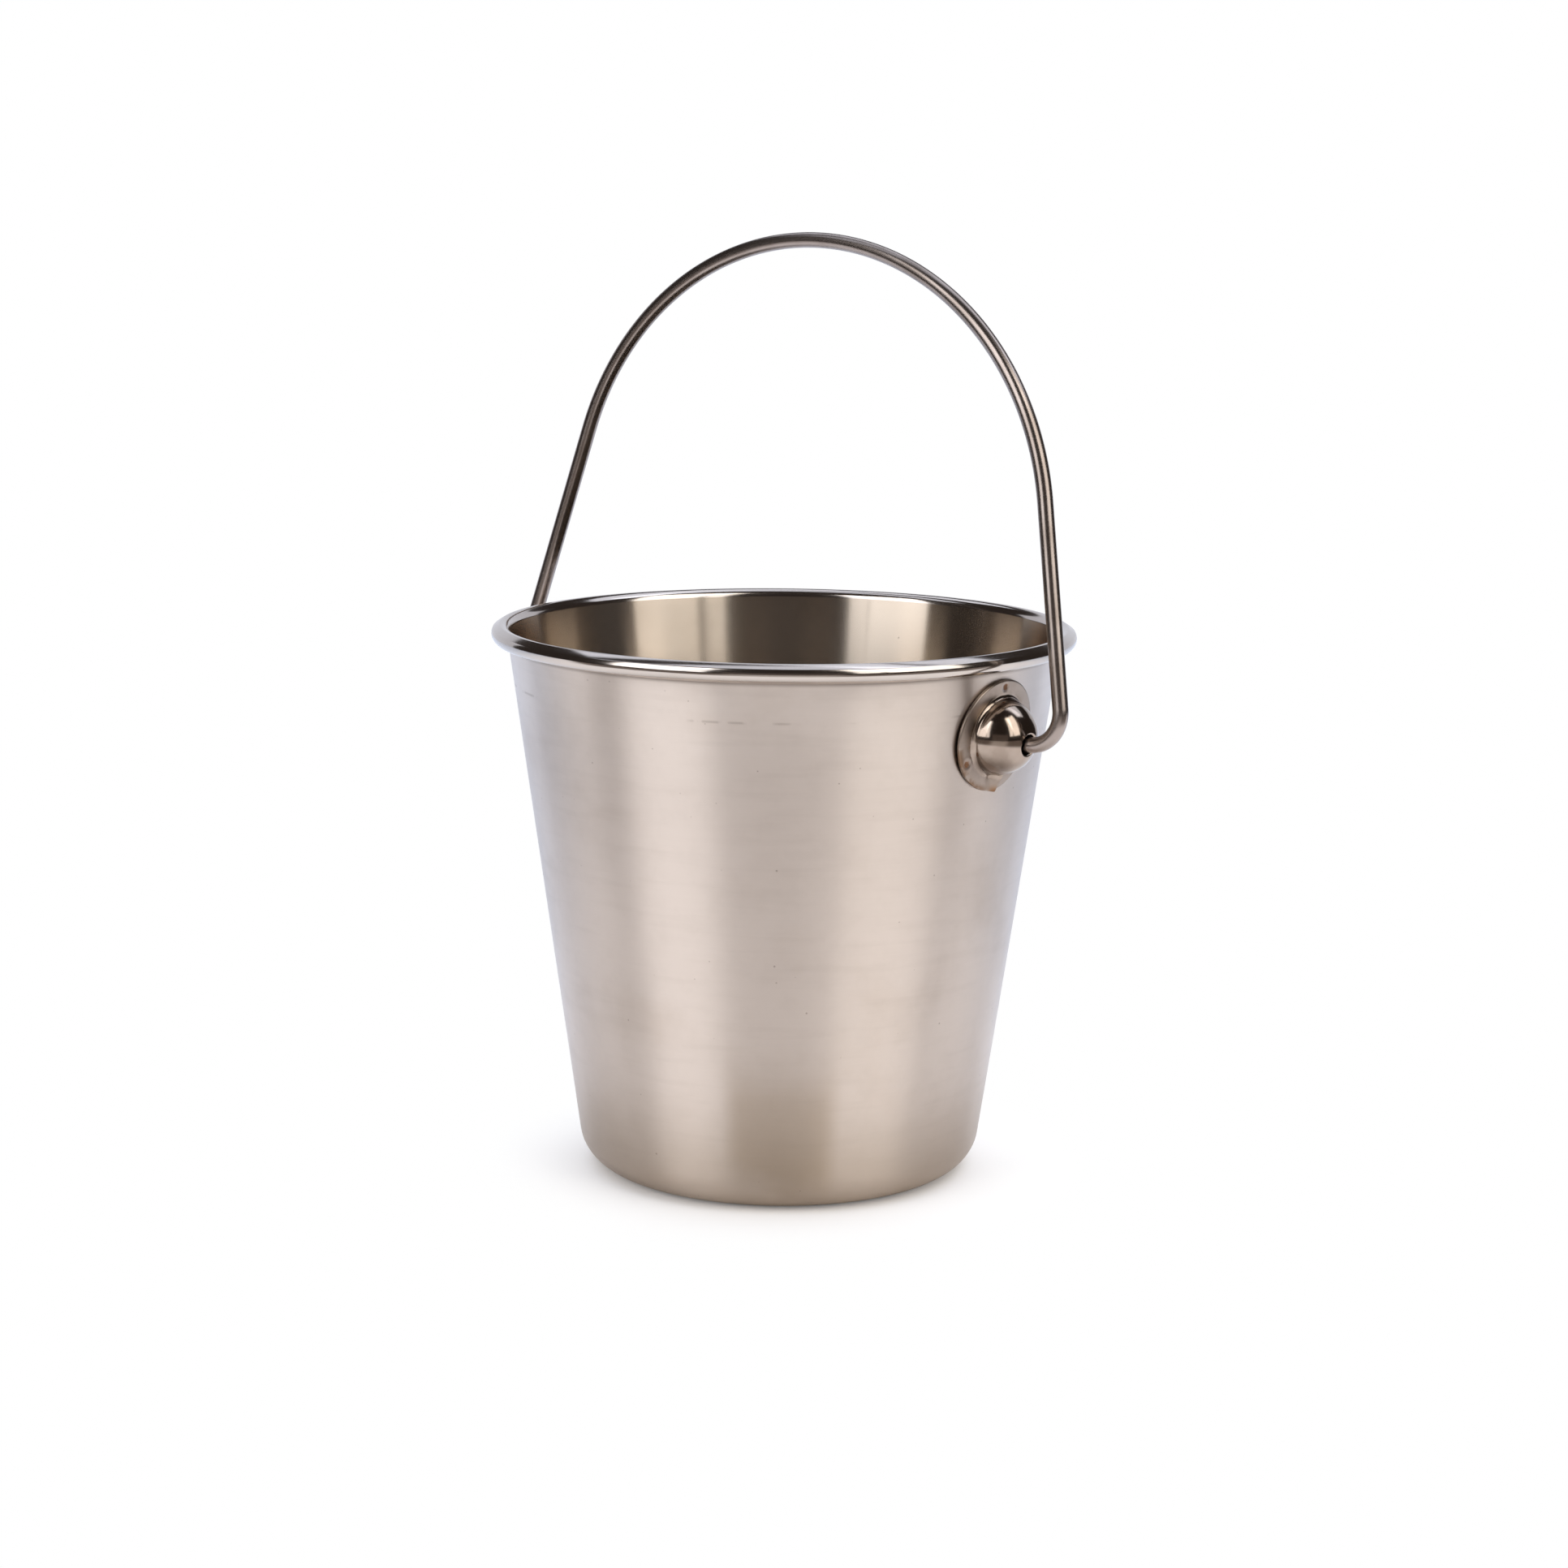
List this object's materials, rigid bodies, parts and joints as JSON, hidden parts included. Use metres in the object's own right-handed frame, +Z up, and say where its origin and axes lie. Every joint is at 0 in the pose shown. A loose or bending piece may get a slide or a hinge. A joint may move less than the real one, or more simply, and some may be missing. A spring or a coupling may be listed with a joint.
{
  "type": "milk pail",
  "caption": "Small round tapered steel pail with a rolled rim, domed side ears welded to the wall and a wire bail that swings over the top.",
  "frame": {"origin": "centre of the flat underside of the pail", "axes": "+Z up along the pail's axis; X along the line through both ears, which is the bail's pivot line; at rest the bail stands up and leans 4.1 degrees towards +Y"},
  "size_m": [0.1597, 0.13, 0.2088],
  "materials": {
    "satin_steel": "warm grey stainless steel, satin with fine lines round the wall, more polished inside and on the rolled rim",
    "ear_steel": "stamped stainless steel, polished dome and satin flange with small rust-brown weld marks",
    "wire_steel": "smooth drawn stainless wire, semi-polished"
  },
  "bodies": {
    "pail": {"pail_body": "satin_steel", "ear_right": "ear_steel", "ear_left": "ear_steel"},
    "bail": {"bail_wire": "wire_steel"}
  },
  "joints": [
    {"name": "bail_swing", "type": "hinge", "parent": "pail", "child": "bail", "pos_m": [0, 0, 0.1037], "axis": [1, 0, 0], "range_deg": [-147.9, 156.1]}
  ]
}
